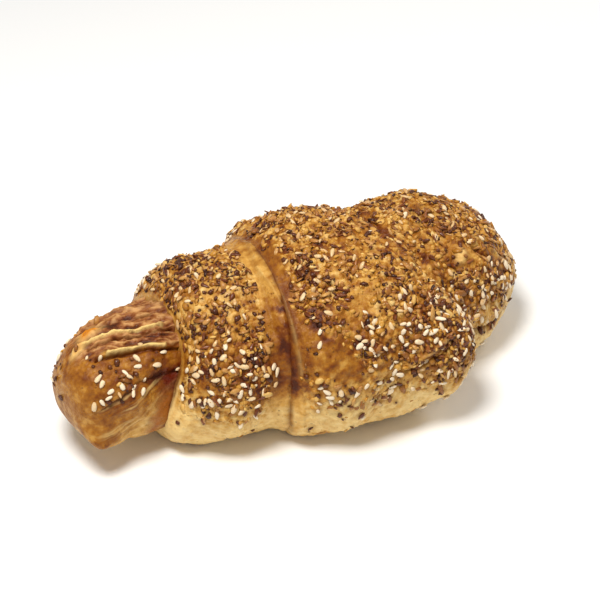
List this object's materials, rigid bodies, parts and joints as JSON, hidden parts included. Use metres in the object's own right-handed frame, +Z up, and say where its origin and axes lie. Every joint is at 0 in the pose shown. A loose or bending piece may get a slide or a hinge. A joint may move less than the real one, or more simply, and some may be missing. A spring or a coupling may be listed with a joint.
{
  "type": "cheese croissant",
  "caption": "Baked cheese croissant in one piece: fat rolled middle, tapering tips, deep creases, crust dipped in seeds, resting on its flat base.",
  "frame": {"origin": "centre of the croissant's outline, on the surface it rests on", "axes": "+X along the roll towards the blunt right end, -Y the front, +Z up"},
  "size_m": [0.1673, 0.0854, 0.0582],
  "materials": {
    "crust": null
  },
  "bodies": {
    "root": {"croissant": "crust"}
  },
  "joints": []
}
